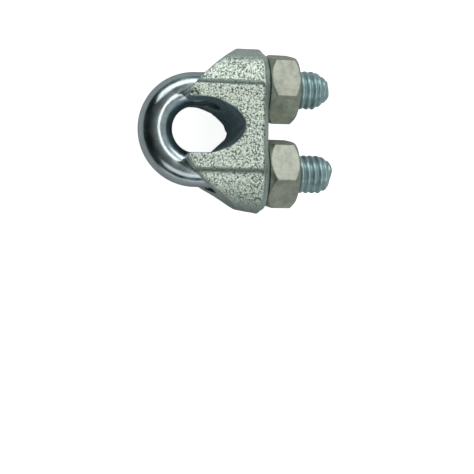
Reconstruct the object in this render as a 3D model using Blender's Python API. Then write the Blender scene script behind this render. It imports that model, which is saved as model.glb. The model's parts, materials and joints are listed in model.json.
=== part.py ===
"""Wire rope clip: a U-bolt, a cast saddle and two hexagon nuts, lying on its side.

+X runs along the legs from the bow to the stud tips, +Y across the two legs and +Z along the rope.
The origin is at the middle of the clip's underside. Lengths are in metres.
"""
from math import asin, ceil, cos, pi, radians, sin

import bmesh
import bpy
from mathutils import Matrix, Vector

MM = 0.001

# U-bolt: M6 rolled thread on a 5.3 mm blank
LEG_SPACING = 13.3 * MM
BOW_HALF = 6.25 * MM           # radius of the bow's centre line, a little tighter than the legs
BOW_SHIFT = -0.1 * MM          # the bow is bent this much off centre
BLANK_RADIUS = 2.65 * MM
CREST_RADIUS = 3.0 * MM
ROOT_RADIUS = 2.45 * MM
PITCH = 1.0 * MM
BOW_DEPTH = 10.9 * MM          # nut seat to the centre of the bow
THREAD_DEPTH = 5.0 * MM        # nut seat to the end of the thread
UPPER_STUD = 10.8 * MM         # nut seat to the tip of the leg at +Y
LOWER_STUD = 11.4 * MM
TIP_RADIUS = 1.7 * MM
TIP_SLOPE = 0.9                # radius gained for each length back from the tip
ROUND_SIDES = 16
BOW_STEPS = 22
THREAD_PROFILE = ((-1 / 16, CREST_RADIUS), (1 / 16, CREST_RADIUS),      # place in one pitch, radius
                  (3 / 8, ROOT_RADIUS), (5 / 8, ROOT_RADIUS))
SPARE_TURNS = 3                # turns that the limits at both ends of a thread use up

# Saddle
PLATE_HALF = 6.6 * MM          # half the thickness of the raised middle plate
PLATE_EDGE = 6.3 * MM          # half the width of the plate's flat face
PLATE_FOOT = 7.1 * MM          # where the plate's flank meets the wing
WING_WIDTH = 6.05 * MM         # wing section: half an ellipse round the leg axis
WING_HEIGHT = 5.6 * MM
WING_SIDES = 8
SADDLE_DEPTH = 13.0 * MM       # nut seat to the tips of the horns
WING_DEPTH = 4.45 * MM         # straight outer wall of a wing
HOLE_RADIUS = 3.6 * MM
HOLE_SIDES = 28
PLATE_BEVEL = (1.5 * MM, 0.9 * MM)     # length along X, drop of the face
PLATE_STEP = (0.35 * MM, 0.6 * MM)     # small second bevel down to the nut seat
RIM_BEVEL = 0.85 * MM
SHOULDER = 12.25 * MM          # horn shoulder, where the slanted side starts
SHOULDER_HALF = 5.9 * MM
SLANT_CROWN = 0.35 * MM        # the slanted side bulges by this much
SLANT_STEPS = 4
NOSE_HALF = 4.95 * MM          # outer half width at the horn tips

# Rope seat: a superellipse cut through the saddle along Z
SEAT_WEB = 4.2 * MM            # material left under the rope
SEAT_HALF = 4.2 * MM
SEAT_ROUND = 5.8 * MM          # depth of the rounded part
SEAT_POWER = 1.7
SEAT_CROWN = 0.5 * MM          # the seat is this much higher half way through
SEAT_LIP = 0.35 * MM           # flare at the mouth
SEAT_STEPS = 10
SEAT_HEIGHTS = (-1.15, -0.6, 0.0, 0.6, 1.15)    # parts of the plate's half thickness

# Nuts: 10 mm across flats
NUT_APOTHEM = 5.0 * MM
NUT_HEIGHT = 4.7 * MM
NUT_FACE_RADIUS = 4.87 * MM
NUT_BORE_RADIUS = 3.08 * MM
NUT_SIDES = 48
NUT_GAP = 0.1 * MM             # clearance between nut and saddle
UPPER_NUT_TURN = 17.4          # degrees that each nut happens to stand turned
LOWER_NUT_TURN = 12.8

HALF_SPACING = LEG_SPACING / 2
BOW_REACH = BOW_DEPTH + BOW_HALF + BLANK_RADIUS
SEAT_X = (BOW_REACH - LOWER_STUD) / 2      # nut seat plane, with the clip centred on X = 0
AXIS_Z = PLATE_HALF
MERGE = 0.001 * MM
CLEAR = 1.0 * MM               # how far a cutter runs past the piece
SHARP_ANGLE = radians(32)


def clear_scene():
    for obj in list(bpy.data.objects):
        bpy.data.objects.remove(obj, do_unlink=True)


def make_material(name, colour, roughness):
    material = bpy.data.materials.new(name)
    material.use_nodes = True
    shader = material.node_tree.nodes["Principled BSDF"]
    shader.inputs["Base Color"].default_value = (*colour, 1.0)
    shader.inputs["Metallic"].default_value = 1.0
    shader.inputs["Roughness"].default_value = roughness
    return material


def add_object(name, bm, location=(0, 0, 0), material=None):
    """Turn a bmesh into a scene object with its faces pointing out."""
    bmesh.ops.remove_doubles(bm, verts=bm.verts, dist=MERGE)
    bmesh.ops.dissolve_degenerate(bm, edges=bm.edges, dist=MERGE)
    bmesh.ops.recalc_face_normals(bm, faces=bm.faces)
    mesh = bpy.data.meshes.new(name)
    bm.to_mesh(mesh)
    bm.free()
    obj = bpy.data.objects.new(name, mesh)
    obj.location = location
    bpy.context.collection.objects.link(obj)
    if material:
        mesh.materials.append(material)
        mesh.shade_smooth()
        mesh.set_sharp_from_angle(angle=SHARP_ANGLE)
    return obj


def cut(target, cutter):
    """Subtract a guide body from a piece and keep the guide out of the model."""
    cutter.hide_render = True
    cutter.display_type = "WIRE"
    modifier = target.modifiers.new(cutter.name, "BOOLEAN")
    modifier.operation = "DIFFERENCE"
    modifier.solver = "EXACT"
    modifier.object = cutter


def bridge_rings(bm, rings, cap_ends=True):
    """Join matching rings of vertices with quads, and close the first and last ring."""
    for ring, following in zip(rings, rings[1:]):
        for index, vertex in enumerate(ring):
            after = (index + 1) % len(ring)
            bm.faces.new((vertex, ring[after], following[after], following[index]))
    if cap_ends:
        bm.faces.new(list(reversed(rings[0])))
        bm.faces.new(rings[-1])


def add_prism(name, outline_at, heights):
    """Loft an outline in the XY plane through a list of heights along Z."""
    bm = bmesh.new()
    rings = [[bm.verts.new((x, y, z)) for x, y in outline_at(z)] for z in heights]
    bridge_rings(bm, rings)
    return add_object(name, bm)


# --- U-bolt ---------------------------------------------------------------------------------

def thread_point(distance, radius, length):
    """Limit one point of the thread to its run-out at the start and its cone at the tip."""
    if distance <= 0.0:
        return 0.0, BLANK_RADIUS
    if distance >= length:
        return length, TIP_RADIUS
    run_out = BLANK_RADIUS + (CREST_RADIUS - BLANK_RADIUS) * distance / PITCH
    cone = TIP_RADIUS + TIP_SLOPE * (length - distance)
    return distance, min(radius, run_out, cone)


def add_thread(bm, leg_y, stud):
    """Add one leg's right-hand thread, from its start inside the saddle to its tip."""
    length = THREAD_DEPTH + stud
    turns = ceil(length / PITCH) + SPARE_TURNS
    rows = []
    for turn in range(turns):
        for fraction, radius in THREAD_PROFILE:
            row = []
            for side in range(ROUND_SIDES):
                angle = 2 * pi * side / ROUND_SIDES
                along = PITCH * (turn - 1 + fraction + side / ROUND_SIDES)
                distance, limited = thread_point(along, radius, length)
                x = SEAT_X - THREAD_DEPTH + distance
                row.append(bm.verts.new((x, leg_y + limited * cos(angle), AXIS_Z + limited * sin(angle))))
            rows.append(row)
    for index in range(len(rows) - len(THREAD_PROFILE) - 1):
        for side in range(ROUND_SIDES):
            last = side == ROUND_SIDES - 1
            row = index + len(THREAD_PROFILE) if last else index
            after = 0 if last else side + 1
            bm.faces.new((rows[index][side], rows[row][after], rows[row + 1][after], rows[index + 1][side]))
    bmesh.ops.remove_doubles(bm, verts=bm.verts, dist=MERGE)


def open_ring(bm, x, leg_y):
    """The open edge loop of one leg at a given X."""
    return [edge for edge in bm.edges if edge.is_boundary
            and all(abs(vertex.co.x - x) < MERGE and vertex.co.y * leg_y > 0 for vertex in edge.verts)]


def build_u_bolt(material):
    bm = bmesh.new()
    for leg_y, stud in ((HALF_SPACING, UPPER_STUD), (-HALF_SPACING, LOWER_STUD)):
        add_thread(bm, leg_y, stud)
        tip = open_ring(bm, SEAT_X + stud, leg_y)
        bmesh.ops.contextual_create(bm, geom=tip)
        start = open_ring(bm, SEAT_X - THREAD_DEPTH, leg_y)
        shank = bmesh.ops.extrude_edge_only(bm, edges=start)
        moved = [item for item in shank["geom"] if isinstance(item, bmesh.types.BMVert)]
        inward = BOW_SHIFT + (BOW_HALF if leg_y > 0 else -BOW_HALF) - leg_y
        bmesh.ops.translate(bm, verts=moved, vec=(THREAD_DEPTH - BOW_DEPTH, inward, 0))
    bow_x = SEAT_X - BOW_DEPTH
    bmesh.ops.spin(bm, geom=open_ring(bm, bow_x, HALF_SPACING), cent=(bow_x, BOW_SHIFT, AXIS_Z),
                   axis=(0, 0, 1), angle=pi, steps=BOW_STEPS)
    return add_object("u_bolt", bm, material=material)


# --- Saddle ---------------------------------------------------------------------------------

def saddle_section(plate_drop, wing_drop):
    """Section across the legs: a raised plate between two half-round wings."""
    width = WING_WIDTH - wing_drop
    height = WING_HEIGHT - wing_drop
    foot = asin((PLATE_FOOT - HALF_SPACING) / width)
    quarter = [(PLATE_EDGE, PLATE_HALF - plate_drop)]
    for side in range(WING_SIDES + 1):
        angle = foot + (pi / 2 - foot) * side / WING_SIDES
        quarter.append((HALF_SPACING + width * sin(angle), height * cos(angle)))
    below = [(y, -z) for y, z in reversed(quarter[:-1])]
    right = quarter + below
    left = [(-y, z) for y, z in reversed(right)]
    return right + left


def seat_outline(z):
    """Outline of the rope seat at one height, open past the horn tips."""
    rise = SEAT_CROWN * (1 - ((z - AXIS_Z) / PLATE_HALF) ** 2)
    bottom = SEAT_X - SEAT_WEB - rise
    mouth = SEAT_X - SADDLE_DEPTH
    side = []
    for step in range(SEAT_STEPS + 1):
        angle = pi / 2 * step / SEAT_STEPS
        depth = SEAT_ROUND * (1 - cos(angle) ** (2 / SEAT_POWER))
        side.append((bottom - depth, SEAT_HALF * sin(angle) ** (2 / SEAT_POWER)))
    side.append((mouth + SEAT_LIP, SEAT_HALF))
    side.append((mouth - SEAT_LIP, SEAT_HALF + 2 * SEAT_LIP))
    return [(x, -y) for x, y in reversed(side[1:])] + side


def slant_outline(side):
    """Outline of the waste outside one horn and its slanted side."""
    start = Vector((SEAT_X - SHOULDER, SHOULDER_HALF))
    end = Vector((SEAT_X - WING_DEPTH, HALF_SPACING + WING_WIDTH))
    outward = Vector((start.y - end.y, end.x - start.x)).normalized()
    curve = []
    for step in range(SLANT_STEPS + 1):
        part = step / SLANT_STEPS
        point = start.lerp(end, part) + outward * SLANT_CROWN * 4 * part * (1 - part)
        curve.append((point.x, point.y))
    past_tip = SEAT_X - SADDLE_DEPTH - CLEAR
    past_side = end.y + CLEAR
    outline = [(past_tip, NOSE_HALF), (SEAT_X - SADDLE_DEPTH, NOSE_HALF)] + curve
    outline += [(end.x + CLEAR / 2, past_side), (past_tip, past_side)]
    return [(x, y * side) for x, y in outline]


def build_saddle(material):
    bevel_length, bevel_drop = PLATE_BEVEL
    step_length, step_drop = PLATE_STEP
    middle_drop = bevel_drop * (bevel_length - RIM_BEVEL) / (bevel_length - step_length)
    stations = ((0.0, bevel_drop + step_drop, RIM_BEVEL),
                (step_length, bevel_drop, RIM_BEVEL - step_length),
                (RIM_BEVEL, middle_drop, 0.0),
                (bevel_length, 0.0, 0.0),
                (SADDLE_DEPTH, 0.0, 0.0))
    bm = bmesh.new()
    rings = [[bm.verts.new((SEAT_X - depth, y, AXIS_Z + z)) for y, z in saddle_section(plate, wing)]
             for depth, plate, wing in stations]
    bridge_rings(bm, rings)
    saddle = add_object("saddle", bm, material=material)

    heights = [AXIS_Z + PLATE_HALF * part for part in SEAT_HEIGHTS]
    cut(saddle, add_prism("seat_cutter", seat_outline, heights))
    for side, name in ((1, "upper"), (-1, "lower")):
        ends = (AXIS_Z - PLATE_HALF - CLEAR, AXIS_Z + PLATE_HALF + CLEAR)
        cut(saddle, add_prism(name + "_slant_cutter", lambda z, side=side: slant_outline(side), ends))
        hole = bmesh.new()
        bmesh.ops.create_cone(hole, cap_ends=True, segments=HOLE_SIDES, radius1=HOLE_RADIUS,
                              radius2=HOLE_RADIUS, depth=2 * (SADDLE_DEPTH + CLEAR),
                              matrix=Matrix.Rotation(pi / 2, 4, "Y"))
        cut(saddle, add_object(name + "_hole_cutter", hole, (SEAT_X, side * HALF_SPACING, AXIS_Z)))
    return saddle


# --- Nuts -----------------------------------------------------------------------------------

def build_nut(name, side, turn, material):
    """A hexagon nut whose corners are chamfered at 45 degrees on both ends."""
    bm = bmesh.new()
    rings = [[] for _ in range(6)]
    for step in range(NUT_SIDES):
        angle = 2 * pi * step / NUT_SIDES
        from_flat = (angle % (pi / 3)) - pi / 6
        edge = NUT_APOTHEM / cos(from_flat)
        drop = edge - NUT_FACE_RADIUS
        outline = ((0.0, NUT_BORE_RADIUS), (0.0, NUT_FACE_RADIUS), (drop, edge),
                   (NUT_HEIGHT - drop, edge), (NUT_HEIGHT, NUT_FACE_RADIUS), (NUT_HEIGHT, NUT_BORE_RADIUS))
        for ring, (x, radius) in zip(rings, outline):
            ring.append(bm.verts.new((x, -radius * sin(angle), radius * cos(angle))))
    bridge_rings(bm, rings + rings[:1], cap_ends=False)
    nut = add_object(name, bm, (SEAT_X + NUT_GAP, side * HALF_SPACING, AXIS_Z), material)
    nut.rotation_euler.x = radians(turn)
    return nut


def main():
    clear_scene()
    build_u_bolt(make_material("zinc_plated_steel", (0.42, 0.48, 0.54), 0.22))
    build_saddle(make_material("zinc_plated_malleable_iron", (0.60, 0.64, 0.56), 0.55))
    nut_material = make_material("zinc_plated_nut_steel", (0.50, 0.50, 0.44), 0.40)
    build_nut("hex_nut_upper", 1, UPPER_NUT_TURN, nut_material)
    build_nut("hex_nut_lower", -1, LOWER_NUT_TURN, nut_material)


main()
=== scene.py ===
"""Wire rope clip for light rope: the looks of its U-bolt, cast saddle and two hexagon nuts.

+X runs along the legs to the stud tips, +Y across the two legs and +Z along the rope.
Lengths are in metres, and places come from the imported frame.
"""
import json
from math import atan2, cos, exp, pi, radians, sin, tan

import bmesh
import bpy
from mathutils import Matrix, Vector, noise


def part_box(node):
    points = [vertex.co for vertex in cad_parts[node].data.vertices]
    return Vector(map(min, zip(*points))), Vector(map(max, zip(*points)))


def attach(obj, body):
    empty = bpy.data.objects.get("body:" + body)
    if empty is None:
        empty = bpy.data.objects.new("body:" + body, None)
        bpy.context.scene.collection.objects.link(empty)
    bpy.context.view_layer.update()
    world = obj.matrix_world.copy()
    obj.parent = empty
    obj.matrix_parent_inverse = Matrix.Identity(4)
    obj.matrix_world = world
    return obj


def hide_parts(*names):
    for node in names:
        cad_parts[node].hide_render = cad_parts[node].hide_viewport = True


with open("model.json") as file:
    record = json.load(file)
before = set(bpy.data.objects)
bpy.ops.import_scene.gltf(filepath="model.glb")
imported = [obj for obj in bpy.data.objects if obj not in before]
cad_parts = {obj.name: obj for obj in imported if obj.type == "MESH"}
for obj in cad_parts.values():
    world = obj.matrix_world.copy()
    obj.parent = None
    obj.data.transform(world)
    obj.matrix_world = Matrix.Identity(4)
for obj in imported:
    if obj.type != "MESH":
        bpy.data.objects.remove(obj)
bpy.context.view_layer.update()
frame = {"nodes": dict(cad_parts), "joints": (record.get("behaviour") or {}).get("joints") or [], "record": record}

bl_info = {
    "name": "Wire Rope Clip",
    "version": (1, 0, 0),
    "blender": (4, 5, 0),
    "location": "View3D > Sidebar > Rope Clip",
    "description": "Builds a zinc plated wire rope clip around its packed frame",
    "category": "Object",
}

MM = 0.001
MERGE = 0.001 * MM

# Places that the frame gives
JOINTS = {joint["name"]: joint for joint in frame["joints"]}
LEG_Y = JOINTS["nut_upper_turn"]["pos_m"][1]
AXIS_Z = JOINTS["nut_upper_turn"]["pos_m"][2]
MOUNTS = {mount["name"]: mount for mount in frame["record"]["mounts"]}
BOLT_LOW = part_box("u_bolt")[0]
SADDLE_LOW, SADDLE_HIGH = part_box("saddle")
SEAT_X = SADDLE_HIGH.x
NUTS = {"upper": 1, "lower": -1}


def linear(hex_colour):
    """An sRGB hex colour as the linear red, green, blue and alpha that shaders take."""
    channels = [int(hex_colour[start:start + 2], 16) / 255 for start in (1, 3, 5)]
    return (*[c / 12.92 if c <= 0.04045 else ((c + 0.055) / 1.055) ** 2.4 for c in channels], 1.0)


def length(name, description, default):
    return bpy.props.FloatProperty(name=name, description=description, default=default, min=0.0,
                                   subtype="DISTANCE", unit="LENGTH", precision=5)


def colour(name, description, hex_colour):
    return bpy.props.FloatVectorProperty(name=name, description=description, subtype="COLOR", size=4,
                                         min=0.0, max=1.0, default=linear(hex_colour))


class BoltSettings(bpy.types.PropertyGroup):
    bar_diameter: length("Bar diameter", "Drawn bar that the U-bolt is bent from", 5.3 * MM)
    thread_diameter: length("Thread diameter", "Over the crests of the rolled thread", 6.0 * MM)
    root_diameter: length("Root diameter", "At the bottom of the rolled thread", 5.2 * MM)
    pitch: length("Pitch", "Distance from one thread to the next", 1.0 * MM)
    thread_depth: length("Thread inside", "How far the thread runs on past the nut seat", 5.0 * MM)
    bow_radius: length("Bow radius", "Middle of the bar at the bow, tighter than the legs", 6.25 * MM)
    upper_stud: length("Upper stud", "Nut seat to the tip of the leg at +Y", 10.8 * MM)
    lower_stud: length("Lower stud", "Nut seat to the tip of the leg at -Y", 11.4 * MM)
    bar_colour: colour("Bar colour", "Bright zinc on the drawn bar", "#C9D6DB")
    thread_colour: colour("Thread colour", "Bluish zinc on the rolled thread", "#B6D3D6")


class SaddleSettings(bpy.types.PropertyGroup):
    grain: length("Grain", "Spacing of the sand grains on the cast skin", 0.34 * MM)
    grain_height: length("Grain height", "Height of the cast grain", 0.045 * MM)
    ridge_height: length("Ridge height", "Height of the slanting ridges in the rope seat", 0.14 * MM)
    light_colour: colour("Light grain", "Zinc on the high grains", "#F3FDF0")
    # the dark grain colour is also painted as shade in the groove, the gas pits and the outer end of the lower
    # wing
    dark_colour: colour("Dark grain", "Zinc in the pits", "#34493F")
    # even tone painted as shading on side walls and the far part of the upper wing, which turn away from the
    # light; also the tone of the smooth strip along the nut seat
    side_shading_colour: colour("Side colour", "Even zinc on the side walls and rubbed places", "#C6D6D3")
    seat_colour: colour("Seat colour", "Thin slate grey zinc in the rope seat", "#B4CED8")


class NutSettings(bpy.types.PropertyGroup):
    chamfer_radius: length("Chamfer radius", "Radius of the flat end face inside the chamfer", 4.87 * MM)
    edge_round: length("Edge rounding", "Width of the worn edges", 0.1 * MM)
    bore_diameter: length("Bore diameter", "Hole over the stud", 6.16 * MM)
    colour: colour("Nut colour", "Satin zinc with a faint yellow cast", "#B7BBAD")


class StudioSettings(bpy.types.PropertyGroup):
    floor_colour: colour("Floor colour", "Plain pale floor", "#F6F7F7")
    floor_size: length("Floor size", "Side of the square floor", 1.2)
    table_glow: bpy.props.FloatProperty(name="Table glow", description="Light from under the floor board",
                                        default=1.0, min=0.0, max=5.0)
    light_power: bpy.props.FloatProperty(name="Light", description="Strength of all the lights together",
                                         default=1.0, min=0.0, max=10.0)


class RopeClipSettings(bpy.types.PropertyGroup):
    bolt: bpy.props.PointerProperty(type=BoltSettings)
    saddle: bpy.props.PointerProperty(type=SaddleSettings)
    nut: bpy.props.PointerProperty(type=NutSettings)
    studio: bpy.props.PointerProperty(type=StudioSettings)


# --- Helpers ---------------------------------------------------------------------------------

def add_node(tree, kind, values=None, links=None, stops=None, **settings):
    """Add one node with its settings, socket values, links and ramp stops."""
    made = tree.nodes.new(kind)
    for name, value in settings.items():
        setattr(made, name, value)
    sockets = {socket.name: socket for socket in made.inputs if socket.enabled}
    sockets.update(enumerate(made.inputs))
    for key, value in (values or {}).items():
        sockets[key].default_value = value
    for key, source in (links or {}).items():
        tree.links.new(source, sockets[key])
    for index, (place, value) in enumerate(stops or ()):
        elements = made.color_ramp.elements
        element = elements[index] if index < len(elements) else elements.new(place)
        element.position = place
        element.color = value
    return made


def new_material(name):
    """An empty material, its node tree and its shader, already joined to the output."""
    material = bpy.data.materials.new(name)
    material.use_nodes = True
    tree = material.node_tree
    return material, tree, tree.nodes["Principled BSDF"]


def as_object(name, bm, *materials):
    """Turn a bmesh into a scene object with smooth faces that point out."""
    bmesh.ops.remove_doubles(bm, verts=bm.verts, dist=MERGE)
    bmesh.ops.dissolve_degenerate(bm, edges=bm.edges, dist=MERGE)
    bmesh.ops.recalc_face_normals(bm, faces=bm.faces)
    mesh = bpy.data.meshes.new(name)
    bm.to_mesh(mesh)
    bm.free()
    obj = bpy.data.objects.new(name, mesh)
    bpy.context.scene.collection.objects.link(obj)
    for material in materials:
        mesh.materials.append(material)
    mesh.shade_smooth()
    return obj


def apply_modifiers(obj):
    """Replace an object's mesh by what its modifiers make of it."""
    shaped = obj.evaluated_get(bpy.context.evaluated_depsgraph_get())
    mesh = bpy.data.meshes.new_from_object(shaped)
    obj.modifiers.clear()
    obj.data = mesh
    return mesh


def boolean(target, tool, operation):
    """Cut the tool out of the target, or keep only what they share, and remove the tool."""
    modifier = target.modifiers.new(operation, "BOOLEAN")
    modifier.operation = operation
    modifier.solver = "EXACT"
    modifier.object = tool
    bpy.context.view_layer.update()
    apply_modifiers(target)
    bpy.data.objects.remove(tool, do_unlink=True)


def smooth_step(low, high, value):
    """0 below low, 1 above high and an easy curve between them."""
    part = min(1.0, max(0.0, (value - low) / (high - low)))
    return part * part * (3 - 2 * part)


# --- Materials -------------------------------------------------------------------------------

def bright_zinc_bar(settings):
    """Bright electroplated zinc on cold drawn steel bar: near mirror gloss, with fine draw lines
    along the bar that stretch each highlight and a faint cloudiness from the plating bath."""
    material, tree, shader = new_material("bright_zinc_on_drawn_bar")
    place = add_node(tree, "ShaderNodeAttribute", attribute_name="bar_place").outputs["Vector"]
    # draw lines are about 0.05 mm apart on the bar, and are drawn at 0.2 mm so that they show
    lines_place = add_node(tree, "ShaderNodeMapping", {"Scale": (900, 5000, 5000)}, {"Vector": place})
    lines = add_node(tree, "ShaderNodeTexNoise", {"Scale": 1.0, "Detail": 3.0, "Roughness": 0.6},
                     {"Vector": lines_place.outputs[0]})
    clouds = add_node(tree, "ShaderNodeTexNoise", {"Scale": 420.0, "Detail": 4.0, "Roughness": 0.6},
                      {"Vector": place})
    tint = add_node(tree, "ShaderNodeValToRGB", links={"Fac": clouds.outputs["Fac"]},
                    stops=((0.3, [c * 0.72 for c in settings.bar_colour[:3]] + [1]),
                           (0.62, settings.bar_colour)))
    tree.links.new(tint.outputs[0], shader.inputs["Base Color"])
    rough = add_node(tree, "ShaderNodeMapRange", {"From Min": 0.3, "From Max": 0.7, "To Min": 0.13,
                                                  "To Max": 0.28}, {"Value": clouds.outputs["Fac"]})
    tree.links.new(rough.outputs[0], shader.inputs["Roughness"])
    bump = add_node(tree, "ShaderNodeBump", {"Strength": 0.6, "Distance": 0.02 * MM},
                    {"Height": lines.outputs["Fac"]})
    tree.links.new(bump.outputs[0], shader.inputs["Normal"])
    shader.inputs["Metallic"].default_value = 1.0
    return material


def zinc_rolled_thread(settings):
    """Zinc on a rolled thread: thinner, bluer and duller than on the bar, with a fine matt grain that
    spreads the light along each crest."""
    material, tree, shader = new_material("blue_zinc_on_rolled_thread")
    place = add_node(tree, "ShaderNodeTexCoord").outputs["Object"]
    grain = add_node(tree, "ShaderNodeTexNoise", {"Scale": 3500.0, "Detail": 3.0}, {"Vector": place})
    clouds = add_node(tree, "ShaderNodeTexNoise", {"Scale": 700.0, "Detail": 2.0}, {"Vector": place})
    tint = add_node(tree, "ShaderNodeValToRGB", links={"Fac": clouds.outputs["Fac"]},
                    stops=((0.32, [c * 0.7 for c in settings.thread_colour[:3]] + [1]),
                           (0.66, settings.thread_colour)))
    tree.links.new(tint.outputs[0], shader.inputs["Base Color"])
    bump = add_node(tree, "ShaderNodeBump", {"Strength": 0.35, "Distance": 0.03 * MM},
                    {"Height": grain.outputs["Fac"]})
    tree.links.new(bump.outputs[0], shader.inputs["Normal"])
    shader.inputs["Metallic"].default_value = 0.75
    shader.inputs["Roughness"].default_value = 0.36
    return material


def zinc_cast_iron(settings):
    """Zinc plate over a sand-cast malleable iron skin: each grain of the mould leaves a bright high
    spot beside a dull grey-green pit, so that the surface sparkles and looks speckled. Side walls,
    the strip along the nut seat and the far part of the upper wing are smoother, and get an even
    tone painted as shading where the surface turns away from the light. Painted shade, in the dark
    grain colour, lies in the groove at the plate's foot, in the gas pits and on the outer end of the
    lower wing. In the rope seat, where the bath hardly reached, the zinc is thin, smooth and slate grey."""
    material, tree, shader = new_material("zinc_on_sand_cast_iron")
    place = add_node(tree, "ShaderNodeTexCoord").outputs["Object"]
    skin = add_node(tree, "ShaderNodeAttribute", attribute_name="seat_skin").outputs["Fac"]
    grains = add_node(tree, "ShaderNodeTexNoise", {"Scale": 1 / settings.grain, "Detail": 3.0,
                                                   "Roughness": 0.7}, {"Vector": place})
    specks = add_node(tree, "ShaderNodeTexNoise", {"Scale": 1.9 / settings.grain, "Detail": 2.0,
                                                   "Roughness": 0.6}, {"Vector": place})
    mixed = add_node(tree, "ShaderNodeMix", {"Factor": 0.5}, {"A": grains.outputs["Fac"],
                                                              "B": specks.outputs["Fac"]},
                     data_type="FLOAT")
    tint = add_node(tree, "ShaderNodeValToRGB", links={"Fac": mixed.outputs[0]},
                    stops=((0.435, settings.dark_colour), (0.515, settings.light_colour)))
    # even tone painted as shading over the grain where the surface turns away from the light, with a weaker bump
    # there
    even_shading = add_node(tree, "ShaderNodeAttribute", attribute_name="wall_skin").outputs["Fac"]
    dull = add_node(tree, "ShaderNodeMath", {1: 0.75}, {0: even_shading}, operation="MULTIPLY")
    evened = add_node(tree, "ShaderNodeMix", {"B": settings.side_shading_colour},
                      {"Factor": dull.outputs[0], "A": tint.outputs[0]}, data_type="RGBA")
    # painted shade in the dark grain colour: in the groove, in the gas pits and on the outer end of the lower wing
    painted_shade = add_node(tree, "ShaderNodeAttribute", attribute_name="dark_skin").outputs["Fac"]
    outside = add_node(tree, "ShaderNodeMix", {"B": settings.dark_colour},
                       {"Factor": painted_shade, "A": evened.outputs[2]}, data_type="RGBA")
    seat = add_node(tree, "ShaderNodeValToRGB", links={"Fac": grains.outputs["Fac"]},
                    stops=((0.4, [c * 0.5 for c in settings.seat_colour[:3]] + [1]),
                           (0.6, settings.seat_colour)))
    base = add_node(tree, "ShaderNodeMix", links={"Factor": skin, "A": outside.outputs[2],
                                                  "B": seat.outputs[0]}, data_type="RGBA")
    tree.links.new(base.outputs[2], shader.inputs["Base Color"])
    rough = add_node(tree, "ShaderNodeMapRange", {"From Min": 0.38, "From Max": 0.6, "To Min": 0.5,
                                                  "To Max": 0.27}, {"Value": mixed.outputs[0]})
    tree.links.new(rough.outputs[0], shader.inputs["Roughness"])
    plain = add_node(tree, "ShaderNodeMath", links={0: skin, 1: dull.outputs[0]}, operation="MAXIMUM")
    depth = add_node(tree, "ShaderNodeMapRange", {"To Min": 1.0, "To Max": 0.25},
                     {"Value": plain.outputs[0]})
    bump = add_node(tree, "ShaderNodeBump", {"Distance": settings.grain_height * 3},
                    {"Height": mixed.outputs[0], "Strength": depth.outputs[0]})
    tree.links.new(bump.outputs[0], shader.inputs["Normal"])
    metal = add_node(tree, "ShaderNodeMapRange", {"To Min": 0.9, "To Max": 0.6}, {"Value": skin})
    tree.links.new(metal.outputs[0], shader.inputs["Metallic"])
    return material


def satin_zinc_nut(settings):
    """Barrel plated zinc on a cold formed nut: satin, faintly yellow, clouded where nuts rubbed
    together in the barrel, which leaves soft blotches about a millimetre across."""
    material, tree, shader = new_material("barrel_plated_zinc_nut")
    place = add_node(tree, "ShaderNodeTexCoord").outputs["Object"]
    blotches = add_node(tree, "ShaderNodeTexNoise", {"Scale": 900.0, "Detail": 5.0, "Roughness": 0.65},
                        {"Vector": place})
    grain = add_node(tree, "ShaderNodeTexNoise", {"Scale": 4200.0, "Detail": 3.0}, {"Vector": place})
    tint = add_node(tree, "ShaderNodeValToRGB", links={"Fac": blotches.outputs["Fac"]},
                    stops=((0.34, [c * 0.74 for c in settings.colour[:3]] + [1]), (0.6, settings.colour)))
    tree.links.new(tint.outputs[0], shader.inputs["Base Color"])
    rough = add_node(tree, "ShaderNodeMapRange", {"From Min": 0.35, "From Max": 0.65, "To Min": 0.42,
                                                  "To Max": 0.3}, {"Value": blotches.outputs["Fac"]})
    tree.links.new(rough.outputs[0], shader.inputs["Roughness"])
    bump = add_node(tree, "ShaderNodeBump", {"Strength": 0.4, "Distance": 0.03 * MM},
                    {"Height": grain.outputs["Fac"]})
    tree.links.new(bump.outputs[0], shader.inputs["Normal"])
    shader.inputs["Metallic"].default_value = 0.75
    return material


def pale_floor(settings):
    """Matt white board lit from below as well, as on a light table: plain, even and close to white,
    with no shine of its own and only a faint shadow. The board itself throws back 70% of the light."""
    material, tree, shader = new_material("matt_white_light_table")
    place = add_node(tree, "ShaderNodeTexCoord").outputs["Object"]
    clouds = add_node(tree, "ShaderNodeTexNoise", {"Scale": 9.0, "Detail": 2.0}, {"Vector": place})
    tint = add_node(tree, "ShaderNodeValToRGB", links={"Fac": clouds.outputs["Fac"]},
                    stops=((0.3, [c * 0.7 for c in settings.floor_colour[:3]] + [1]),
                           (0.7, [c * 0.72 for c in settings.floor_colour[:3]] + [1])))
    tree.links.new(tint.outputs[0], shader.inputs["Base Color"])
    seen = add_node(tree, "ShaderNodeLightPath").outputs["Is Camera Ray"]
    glow = add_node(tree, "ShaderNodeMath", {1: settings.table_glow}, {0: seen}, operation="MULTIPLY")
    tree.links.new(glow.outputs[0], shader.inputs["Emission Strength"])
    shader.inputs["Emission Color"].default_value = settings.floor_colour
    shader.inputs["Roughness"].default_value = 0.9
    shader.inputs["Specular IOR Level"].default_value = 0.1
    return material


# --- U-bolt ----------------------------------------------------------------------------------

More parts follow.
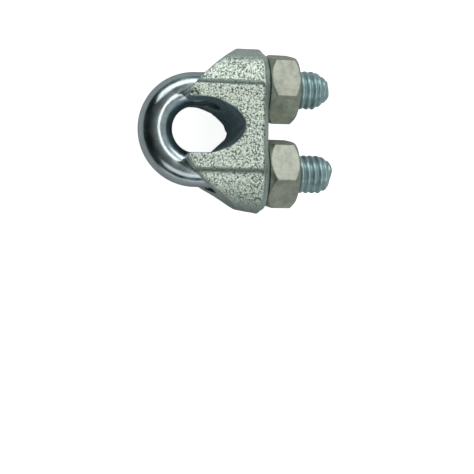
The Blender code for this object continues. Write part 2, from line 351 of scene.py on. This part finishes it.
BAR_SIDES = 64
BOW_STEPS = 72
SHANK_STEPS = 10
BOW_SHIFT = -0.1 * MM          # the bow is bent this much off centre
THREAD_STEPS = 64              # steps round one turn of the thread
PROFILE_POINTS = 12            # points along one pitch of the thread
THREAD_FULLNESS = 0.7          # below 1 the crests are broad and the roots narrow
POINTS = {"upper": (2.8 * MM, 0.42), "lower": (2.4 * MM, 0.34)}     # length and fullness of each dome
END_RADIUS = 0.4 * MM
TORN_FROM = (1.5 * MM, 0.3 * MM)        # the tearing grows between these distances from the tip
TEARS = ((0.9 * MM, 0.22 * MM), (0.35 * MM, 0.12 * MM))     # width and depth of coarse and fine tears
# Planes that the shears left on each end: how far back from the tip in mm, and the way they face
SHEARS = {"upper": ((0.0, (1, 0.1, 0.1)), (0.12, (1, 0.12, 0.5))),
          "lower": ((0.0, (1, 0.05, 0.1)), (0.2, (1, -0.3, 0.45)))}


def open_rim(bm, x, leg_y):
    """The open edges of one leg at a given X."""
    return [edge for edge in bm.edges if edge.is_boundary
            and all(abs(vert.co.x - x) < MERGE and vert.co.y * leg_y > 0 for vert in edge.verts)]


def thread_radius(part, sizes):
    """Radius of the rolled thread at a part of one pitch: broad rounded crest, narrow root."""
    root = sizes.root_diameter / 2
    return root + (sizes.thread_diameter / 2 - root) * sin(pi * part) ** THREAD_FULLNESS


def one_turn(leg_y, start, sizes):
    """One turn of right-hand thread, wound from a profile one pitch long."""
    bm = bmesh.new()
    profile = []
    for point in range(PROFILE_POINTS + 1):
        part = point / PROFILE_POINTS
        place = (start + sizes.pitch * (part - 1), leg_y + thread_radius(part, sizes), AXIS_Z)
        profile.append(bm.verts.new(place))
    edges = [bm.edges.new(pair) for pair in zip(profile, profile[1:])]
    bmesh.ops.spin(bm, geom=profile + edges, cent=(0, leg_y, AXIS_Z), axis=(1, 0, 0),
                   dvec=(sizes.pitch / THREAD_STEPS, 0, 0), angle=2 * pi, steps=THREAD_STEPS)
    return bm


def roll_thread(leg_y, start, tip, point_sizes, shears, sizes):
    """One leg's thread as its own bmesh: a turn repeated along the leg, then limited to the run-out
    at its start and to the rounded point at its tip, and cut off by the shears."""
    bm = one_turn(leg_y, start, sizes)
    turn = bm.verts[:] + bm.edges[:] + bm.faces[:]
    for count in range(1, int((tip - start) / sizes.pitch) + 3):
        copy = bmesh.ops.duplicate(bm, geom=turn)["geom"]
        moved = [item for item in copy if isinstance(item, bmesh.types.BMVert)]
        bmesh.ops.translate(bm, verts=moved, vec=(count * sizes.pitch, 0, 0))
    bmesh.ops.remove_doubles(bm, verts=bm.verts, dist=MERGE)
    bar = sizes.bar_diameter / 2
    crest = sizes.thread_diameter / 2
    dome_length, dome_power = point_sizes
    for vert in bm.verts:
        across = Vector((0, vert.co.y - leg_y, vert.co.z - AXIS_Z))
        radius = across.length
        if vert.co.x <= start:
            vert.co.x = start
            radius = bar
        run_out = bar + (crest - bar) * min(1.0, (vert.co.x - start) / sizes.pitch)
        left = min(1.0, max(0.0, tip - vert.co.x) / dome_length)
        dome = max(END_RADIUS / crest, left ** dome_power)
        across *= min(radius, run_out) * dome / across.length
        vert.co.y = leg_y + across.y
        vert.co.z = AXIS_Z + across.z
    bmesh.ops.remove_doubles(bm, verts=bm.verts, dist=MERGE)
    for back, facing in shears:
        sheared = bmesh.ops.bisect_plane(bm, geom=bm.verts[:] + bm.edges[:] + bm.faces[:],
                                         plane_co=(tip - back * MM, leg_y, AXIS_Z), plane_no=facing,
                                         clear_outer=True)
        rim = [item for item in sheared["geom_cut"] if isinstance(item, bmesh.types.BMEdge)]
        end = bmesh.ops.contextual_create(bm, geom=rim)["faces"]
        fan = set(bmesh.ops.poke(bm, faces=end)["faces"])
        inner = [edge for edge in bm.edges if not fan.isdisjoint(edge.link_faces)]
        bmesh.ops.subdivide_edges(bm, edges=inner, cuts=2, use_grid_fill=True)
    return bm


def roughen_tip(bm, leg_y, tip):
    """Chips and tears left by the shears, strongest at the very end of a stud."""
    for vert in bm.verts:
        near = smooth_step(tip - TORN_FROM[0], tip - TORN_FROM[1], vert.co.x)
        if near == 0.0 or vert.co.y * leg_y < 0:
            continue
        coarse = vert.co / TEARS[0][0]
        torn = sum(depth * noise.noise(vert.co / width) for width, depth in TEARS)
        across = Vector((0, vert.co.y - leg_y, vert.co.z - AXIS_Z))
        across.normalize()
        vert.co += across * near * torn
        vert.co.x += near * MM * (0.1 * noise.noise(coarse + Vector((7, 3, 5))) - 0.07)


def bar_place(point, bow_x, bow_radius):
    """Where a point of the bar would be if the bar were bent straight again."""
    across = point.y - BOW_SHIFT
    if point.x >= bow_x:
        side = 1 if across > 0 else -1
        along = side * (pi / 2 * bow_radius + point.x - bow_x)
        out = side * across - bow_radius
    else:
        along = atan2(across, bow_x - point.x) * bow_radius
        out = Vector((bow_x - point.x, across)).length - bow_radius
    return along, out, point.z - AXIS_Z


class ROPECLIP_OT_u_bolt(bpy.types.Operator):
    """Make the U-bolt: a drawn bar bent round the rope, with a rolled thread on each leg"""
    bl_idname = "rope_clip.u_bolt"
    bl_label = "Make U-bolt"
    bl_options = {"REGISTER", "UNDO"}

    def execute(self, context):
        sizes = context.scene.rope_clip.bolt
        bar = sizes.bar_diameter / 2
        bow_x = BOLT_LOW.x + sizes.bow_radius + bar
        start = SEAT_X - sizes.thread_depth
        bm = bmesh.new()
        turn = (Matrix.Translation((bow_x, BOW_SHIFT + sizes.bow_radius, AXIS_Z))
                @ Matrix.Rotation(pi / 2, 4, "Y"))
        bmesh.ops.create_circle(bm, segments=BAR_SIDES, radius=bar, matrix=turn)
        bmesh.ops.spin(bm, geom=bm.verts[:] + bm.edges[:], cent=(bow_x, BOW_SHIFT, AXIS_Z),
                       axis=(0, 0, 1), angle=pi, steps=BOW_STEPS)
        for leg_y in (LEG_Y, -LEG_Y):
            bow_end = BOW_SHIFT + (sizes.bow_radius if leg_y > 0 else -sizes.bow_radius)
            for step in range(SHANK_STEPS):
                here = bow_x + (start - bow_x) * step / SHANK_STEPS
                shank = bmesh.ops.extrude_edge_only(bm, edges=open_rim(bm, here, leg_y))
                moved = [item for item in shank["geom"] if isinstance(item, bmesh.types.BMVert)]
                flare = smooth_step(0, SHANK_STEPS, step + 1) - smooth_step(0, SHANK_STEPS, step)
                bmesh.ops.translate(bm, verts=moved, vec=((start - bow_x) / SHANK_STEPS,
                                                          (leg_y - bow_end) * flare, 0))
        bmesh.ops.recalc_face_normals(bm, faces=bm.faces)
        for face in bm.faces:
            face.material_index = 0
        for name, side in NUTS.items():
            leg_y = side * LEG_Y
            tip = SEAT_X + (sizes.upper_stud if side > 0 else sizes.lower_stud)
            thread = roll_thread(leg_y, start, tip, POINTS[name], SHEARS[name], sizes)
            roughen_tip(thread, leg_y, tip)
            for face in thread.faces:
                face.material_index = 1
            part = bpy.data.meshes.new("thread_" + name)
            thread.to_mesh(part)
            thread.free()
            bm.from_mesh(part)
            bpy.data.meshes.remove(part)
        bolt = as_object("bent_u_bolt", bm, bright_zinc_bar(sizes), zinc_rolled_thread(sizes))
        places = bolt.data.attributes.new("bar_place", "FLOAT_VECTOR", "POINT")
        for vert, value in zip(bolt.data.vertices, places.data):
            value.vector = bar_place(vert.co, bow_x, sizes.bow_radius)
        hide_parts("u_bolt")
        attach(bolt, "u_bolt")
        return {"FINISHED"}


# --- Saddle ----------------------------------------------------------------------------------

VOXEL = 0.14 * MM
WEAR_ROUNDS = 3                # smoothing rounds that wear the sharp edges down
SEAT_HALF = 4.45 * MM          # half width of the rope seat, with a little to spare
SEAT_DEPTH = 3.4 * MM          # the seat's surface starts at least this far in from the nut seat
SEAT_SWELL = 0.45 * MM         # how much higher the lower half of the seat stands
RIDGE_SPACING = 3.6 * MM
RIDGE_SLOPE = 0.55             # sideways run of a ridge for each length along the rope
RIDGE_SHARE = 0.22             # part of the spacing that a ridge covers
PLATE_FOOT = 6.65 * MM         # where the raised plate meets a wing
GROOVE_SHIFT = -0.15 * MM      # the plate stands this much off centre
GROOVE_WIDTH = 0.32 * MM
GROOVE_DEPTH = 0.12 * MM
GROOVE_LOW = 3 * MM            # the groove is cut only higher than this above the legs' axes
STRIP = 1.1 * MM               # smooth strip along the nut seat
WING_WIDTH = 6.05 * MM         # half sizes of a wing round its leg
WING_HEIGHT = 5.6 * MM
RIM_FALL = 0.4 * MM            # how far the wing's rim falls back from the nut
RIM_REACH = 1.6 * MM           # the fall starts this far in from the nut seat
LEAN = 0.17                    # slope of the outer end of the wing at -Y
LEAN_MIDDLE = 2.9 * MM         # where the leaning end crosses the straight one, in from the nut seat
LEAN_FROM = (8.5 * MM, 12 * MM)
TURNED_AWAY_FROM = (9.9 * MM, 11.3 * MM)     # where the wing at +Y turns smooth and takes an even tone painted as shading
SHADED_END_FROM = (10.5 * MM, 12.5 * MM)     # where the wing at -Y turns dark with painted shade
PIT_BLACK = 0.15 * MM          # a pit this deep is fully dark with painted shade
# Pits that gas left near the upper horn: place from the middle of the horn tips, width and depth, in mm
CASTING_FLAWS = (((0.5, 4.75, 0.0), 0.28, 0.22), ((1.05, 4.95, 0.0), 0.22, 0.16),
                 ((1.3, 4.6, 0.0), 0.2, 0.14))


def round_edges(bm):
    """Wear sharp edges down to the radius that a casting has."""
    for _ in range(WEAR_ROUNDS):
        bmesh.ops.smooth_vert(bm, verts=bm.verts, factor=0.5, use_axis_x=True, use_axis_y=True,
                              use_axis_z=True)


def cast_skin(point, sizes):
    """How far the cast surface stands off its mean at a point: slow waviness and sand grain."""
    slow = 0.04 * MM * noise.noise(point / (3.0 * MM))
    grain = noise.noise(point / (0.5 * sizes.grain)) + 0.6 * noise.noise(point / (0.27 * sizes.grain))
    return slow + sizes.grain_height * grain


def in_seat(point, normal):
    """1 on the rope seat's own surface and the inner sides of the horns, 0 everywhere else."""
    if abs(point.y) > SEAT_HALF or point.x > SEAT_X - SEAT_DEPTH:
        return 0.0
    return 1.0 - smooth_step(0.55, 0.8, abs(normal.z))


def seat_ridge(point):
    """Height of the slanting ridges in the rope seat, which follow the lay of the rope's strands."""
    phase = (RIDGE_SLOPE * (point.z - AXIS_Z) - point.y) / RIDGE_SPACING
    wave = abs(((phase + 0.5) % 1.0) - 0.5) * 2
    return exp(-(wave / RIDGE_SHARE) ** 2)


def seat_swell(point, normal):
    """The lower half of the seat stands a little higher than the upper half."""
    far = 1 - smooth_step(-5 * MM, 3 * MM, point.z - AXIS_Z)
    inside = smooth_step(SADDLE_LOW.x + MM, SADDLE_LOW.x + 3 * MM, point.x)
    near_rim = smooth_step(0, 1.5 * MM, point.z)
    return SEAT_SWELL * far * inside * near_rim * smooth_step(0.1, 0.7, -normal.x)


def in_groove(point):
    """1 along the foot of the raised plate on its upper side, fading to 0 on both sides of it."""
    if point.z < AXIS_Z + GROOVE_LOW or point.x > SEAT_X - STRIP:
        return 0.0
    return exp(-((abs(point.y - GROOVE_SHIFT) - PLATE_FOOT) / GROOVE_WIDTH) ** 2)


def mould_draft(point):
    """The mould's draft: the rim of each wing falls back from the nuts, and the wing at -Y leans."""
    across = Vector(((abs(point.y) - LEG_Y) / WING_WIDTH, (point.z - AXIS_Z) / WING_HEIGHT))
    rim = smooth_step(0.8, 1.0, across.length) * smooth_step(SEAT_X - RIM_REACH, SEAT_X, point.x)
    lean = smooth_step(*LEAN_FROM, -point.y) * LEAN * (point.x - SEAT_X + LEAN_MIDDLE)
    return Vector((-RIM_FALL * rim, -lean, 0))


def gas_pits(point, flaws):
    """Depth at a point of the pits that gas left in the casting."""
    return sum(depth * exp(-((point - place).length / width) ** 2) for place, width, depth in flaws)


def cast_surface(bm, sizes):
    """Move the smoothed casting's vertices to its cast skin, and say for each vertex how far it is
    seat, smoother skin with an even tone painted as shading, and painted shade."""
    nose = Vector((SADDLE_LOW.x, 0, SADDLE_HIGH.z))
    flaws = [(nose + Vector(offset) * MM, width * MM, depth * MM)
             for offset, width, depth in CASTING_FLAWS]
    moves = []
    skins = {"seat_skin": [], "wall_skin": [], "dark_skin": []}
    for vert in bm.verts:
        seat = in_seat(vert.co, vert.normal)
        groove = in_groove(vert.co)
        pit = gas_pits(vert.co, flaws)
        strip = smooth_step(SEAT_X - STRIP - 0.1 * MM, SEAT_X - STRIP, vert.co.x)
        # far part of the wing at +Y: smoother, with an even tone painted as shading where it turns away from the
        # light
        rubbed = smooth_step(*TURNED_AWAY_FROM, vert.co.y)
        # painted shade on the outer end of the wing at -Y
        shaded_end = 0.4 * smooth_step(*SHADED_END_FROM, -vert.co.y)
        rise = cast_skin(vert.co, sizes) * (1 - 0.7 * max(seat, strip)) - GROOVE_DEPTH * groove
        rise += sizes.ridge_height * seat * seat_ridge(vert.co)
        rise += seat_swell(vert.co, vert.normal) * seat
        rise -= pit
        moves.append(vert.normal * rise + mould_draft(vert.co))
        skins["seat_skin"].append(seat)
        # smoother skin with an even tone painted as shading: side walls, the strip along the nut seat and the far
        # part of the wing at +Y
        skins["wall_skin"].append(max(strip, rubbed, 1 - smooth_step(0.45, 0.85, abs(vert.normal.z))))
        # painted shade: in the groove at the plate's foot, in the gas pits and on the outer end of the wing at -Y
        skins["dark_skin"].append(min(1.0, 0.6 * groove + shaded_end + pit / PIT_BLACK))
    for vert, move in zip(bm.verts, moves):
        vert.co += move
    return skins


class ROPECLIP_OT_saddle(bpy.types.Operator):
    """Make the cast saddle: the block that the rope lies in and the nuts press on"""
    bl_idname = "rope_clip.saddle"
    bl_label = "Make saddle"
    bl_options = {"REGISTER", "UNDO"}

    def execute(self, context):
        sizes = context.scene.rope_clip.saddle
        bm = bmesh.new()
        bm.from_mesh(frame["nodes"]["saddle"].data)
        saddle = as_object("cast_saddle", bm)
        remesh = saddle.modifiers.new("Cast skin", "REMESH")
        remesh.mode = "VOXEL"
        remesh.voxel_size = VOXEL
        bpy.context.view_layer.update()
        mesh = apply_modifiers(saddle)
        bm = bmesh.new()
        bm.from_mesh(mesh)
        round_edges(bm)
        bm.normal_update()
        skins = cast_surface(bm, sizes)
        bm.to_mesh(mesh)
        bm.free()
        for name, values in skins.items():
            mesh.attributes.new(name, "FLOAT", "POINT").data.foreach_set("value", values)
        mesh.materials.clear()
        mesh.materials.append(zinc_cast_iron(sizes))
        mesh.shade_smooth()
        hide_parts("saddle")
        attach(saddle, "saddle")
        return {"FINISHED"}


# --- Nuts ------------------------------------------------------------------------------------

TURNED_STEPS = 96
COUNTERSINK = 0.45 * MM


def turned_body(name, profile):
    """A closed body spun round X from a profile of (X, radius) points that starts and ends on the axis."""
    bm = bmesh.new()
    points = [bm.verts.new((x, radius, 0)) for x, radius in profile]
    edges = [bm.edges.new(pair) for pair in zip(points, points[1:])]
    bmesh.ops.spin(bm, geom=points + edges, cent=(0, 0, 0), axis=(1, 0, 0), angle=2 * pi,
                   steps=TURNED_STEPS, use_merge=True)
    return as_object(name, bm)


def make_nut(name, leg_y, material, sizes):
    """One hexagon nut: a hexagon bar, with 45 degree chamfers at both ends and a countersunk bore."""
    low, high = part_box("hex_nut_" + name)
    height = high.x - low.x
    flat = Vector(MOUNTS["spanner_flat_" + name]["pos_m"]) - Vector((0, leg_y, AXIS_Z))
    flat.x = 0
    apothem = flat.length
    corner = apothem / cos(pi / 6)
    bm = bmesh.new()
    turn = Matrix.Rotation(atan2(flat.z, flat.y) + pi / 6, 4, "X") @ Matrix.Rotation(pi / 2, 4, "Y")
    bmesh.ops.create_circle(bm, cap_ends=True, segments=6, radius=corner, matrix=turn)
    grown = bmesh.ops.extrude_face_region(bm, geom=bm.faces[:])
    moved = [item for item in grown["geom"] if isinstance(item, bmesh.types.BMVert)]
    bmesh.ops.translate(bm, verts=moved, vec=(height, 0, 0))
    nut = as_object("plated_nut_" + name, bm)
    face = sizes.chamfer_radius
    drop = corner + MM - face
    body = turned_body("chamfer", ((0, 0), (0, face), (drop, face + drop), (height - drop, face + drop),
                                   (height, face), (height, 0)))
    boolean(nut, body, "INTERSECT")
    bevel = nut.modifiers.new("Worn edges", "BEVEL")
    bevel.width = sizes.edge_round
    bevel.segments = 3
    bevel.limit_method = "ANGLE"
    bevel.angle_limit = radians(25)
    apply_modifiers(nut)
    bore = sizes.bore_diameter / 2
    mouth = bore + COUNTERSINK + MM
    hole = turned_body("bore", ((-MM, 0), (-MM, mouth), (COUNTERSINK, bore), (height - COUNTERSINK, bore),
                                (height + MM, mouth), (height + MM, 0)))
    boolean(nut, hole, "DIFFERENCE")
    nut.data.transform(Matrix.Translation((low.x, leg_y, AXIS_Z)))
    nut.data.shade_smooth()
    nut.data.set_sharp_from_angle(angle=radians(30))
    nut.modifiers.new("Flat faces", "WEIGHTED_NORMAL").keep_sharp = True
    nut.data.materials.clear()
    nut.data.materials.append(material)
    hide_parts("hex_nut_" + name)
    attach(nut, "nut_" + name)


class ROPECLIP_OT_nuts(bpy.types.Operator):
    """Make the two hexagon nuts that pull the saddle onto the rope"""
    bl_idname = "rope_clip.nuts"
    bl_label = "Make nuts"
    bl_options = {"REGISTER", "UNDO"}

    def execute(self, context):
        sizes = context.scene.rope_clip.nut
        material = satin_zinc_nut(sizes)
        for name, side in NUTS.items():
            make_nut(name, side * LEG_Y, material, sizes)
        return {"FINISHED"}


# --- Stage -----------------------------------------------------------------------------------

CAMERA_PLACE = (-32.6 * MM, -16.8 * MM, 157.9 * MM)
CAMERA_TURN = (radians(-0.06), radians(-12.2), radians(0.48))
CAMERA_LENS = 75.19

# Soft boxes: lean of the light from straight up towards +X, lean towards +Y, half angle that it
# covers along X, half angle along Y, and brightness
SOFT_BOXES = {
    "window_side": (8, 51, 38, 13, 2.0),
    "right_strip": (18, 0, 5, 34, 2.7),
    "right_wide": (52, 0, 20, 30, 0.33),
    "near_fill": (6, -46, 34, 10, 1.1),
    "near_horizon": (0, -85, 40, 5, 0.8),
}
LIGHT_DISTANCE = 0.5


def add_soft_box(name, lean_x, lean_y, half_x, half_y, brightness):
    """A soft box that faces the clip from its side of the sky."""
    light = bpy.data.lights.new(name, "AREA")
    light.shape = "RECTANGLE"
    light.size = 2 * LIGHT_DISTANCE * tan(radians(half_x))
    light.size_y = 2 * LIGHT_DISTANCE * tan(radians(half_y))
    light.energy = brightness * pi * light.size * light.size_y
    lamp = bpy.data.objects.new(name, light)
    bpy.context.scene.collection.objects.link(lamp)
    turn = Matrix.Rotation(radians(lean_x), 4, "Y") @ Matrix.Rotation(-radians(lean_y), 4, "X")
    lamp.matrix_world = turn @ Matrix.Translation((0, 0, LIGHT_DISTANCE))


class ROPECLIP_OT_stage(bpy.types.Operator):
    """Make the pale floor, the soft studio light and the camera"""
    bl_idname = "rope_clip.stage"
    bl_label = "Make stage"
    bl_options = {"REGISTER", "UNDO"}

    def execute(self, context):
        scene = context.scene
        settings = scene.rope_clip.studio
        bm = bmesh.new()
        bmesh.ops.create_grid(bm, x_segments=1, y_segments=1, size=settings.floor_size / 2)
        floor = as_object("floor", bm, pale_floor(settings))
        for name, (*place, brightness) in SOFT_BOXES.items():
            add_soft_box(name, *place, brightness * settings.light_power)
        world = bpy.data.worlds.new("studio")
        world.use_nodes = True
        tree = world.node_tree
        background = tree.nodes["Background"]
        direction = add_node(tree, "ShaderNodeTexCoord").outputs["Generated"]
        split = add_node(tree, "ShaderNodeSeparateXYZ", links={"Vector": direction})
        sky = add_node(tree, "ShaderNodeValToRGB", links={"Fac": split.outputs["Z"]},
                       stops=((0.0, linear("#6E8480")), (0.35, linear("#536663")),
                              (0.8, linear("#4C5553")), (1.0, linear("#7C807A"))))
        side = add_node(tree, "ShaderNodeMapRange", {"From Min": -0.75, "From Max": 0.05, "To Min": 0.15,
                                                     "To Max": 1.0}, {"Value": split.outputs["X"]})
        seen = add_node(tree, "ShaderNodeLightPath").outputs["Is Camera Ray"]
        level = add_node(tree, "ShaderNodeMix", {"B": 1.15}, {"Factor": seen, "A": side.outputs[0]},
                         data_type="FLOAT")
        pale = add_node(tree, "ShaderNodeMix", {"B": settings.floor_colour},
                        {"Factor": seen, "A": sky.outputs[0]}, data_type="RGBA")
        near = add_node(tree, "ShaderNodeMapRange", {"From Min": -0.95, "From Max": -0.5, "To Min": 0.45,
                                                     "To Max": 1.0}, {"Value": split.outputs["Y"]})
        both = add_node(tree, "ShaderNodeMath", links={0: side.outputs[0], 1: near.outputs[0]},
                        operation="MULTIPLY")
        tree.links.new(both.outputs[0], level.inputs[2])
        tree.links.new(level.outputs[0], background.inputs["Strength"])
        tree.links.new(pale.outputs[2], background.inputs["Color"])
        scene.world = world
        lens = bpy.data.cameras.new("camera")
        lens.lens = CAMERA_LENS
        lens.clip_start = 10 * MM
        camera = bpy.data.objects.new("camera", lens)
        camera.location = CAMERA_PLACE
        camera.rotation_euler = CAMERA_TURN
        scene.collection.objects.link(camera)
        scene.camera = camera
        scene.view_settings.view_transform = "Standard"
        return {"FINISHED"}


class ROPECLIP_PT_panel(bpy.types.Panel):
    """Buttons and sizes of the wire rope clip"""
    bl_idname = "ROPECLIP_PT_panel"
    bl_label = "Wire Rope Clip"
    bl_space_type = "VIEW_3D"
    bl_region_type = "UI"
    bl_category = "Rope Clip"

    def draw(self, context):
        settings = context.scene.rope_clip
        groups = (settings.bolt, settings.saddle, settings.nut, settings.studio)
        for operator, group in zip(OPERATORS, groups):
            box = self.layout.box()
            for name in group.__annotations__:
                box.prop(group, name)
            box.operator(operator.bl_idname)


OPERATORS = (ROPECLIP_OT_u_bolt, ROPECLIP_OT_saddle, ROPECLIP_OT_nuts, ROPECLIP_OT_stage)
CLASSES = (BoltSettings, SaddleSettings, NutSettings, StudioSettings, RopeClipSettings,
           *OPERATORS, ROPECLIP_PT_panel)


def register():
    for cls in CLASSES:
        bpy.utils.register_class(cls)
    bpy.types.Scene.rope_clip = bpy.props.PointerProperty(type=RopeClipSettings)


def unregister():
    del bpy.types.Scene.rope_clip
    for cls in reversed(CLASSES):
        bpy.utils.unregister_class(cls)


def main():
    register()
    bpy.ops.rope_clip.u_bolt()
    bpy.ops.rope_clip.saddle()
    bpy.ops.rope_clip.nuts()
    bpy.ops.rope_clip.stage()


if __name__ == "__main__":
    main()
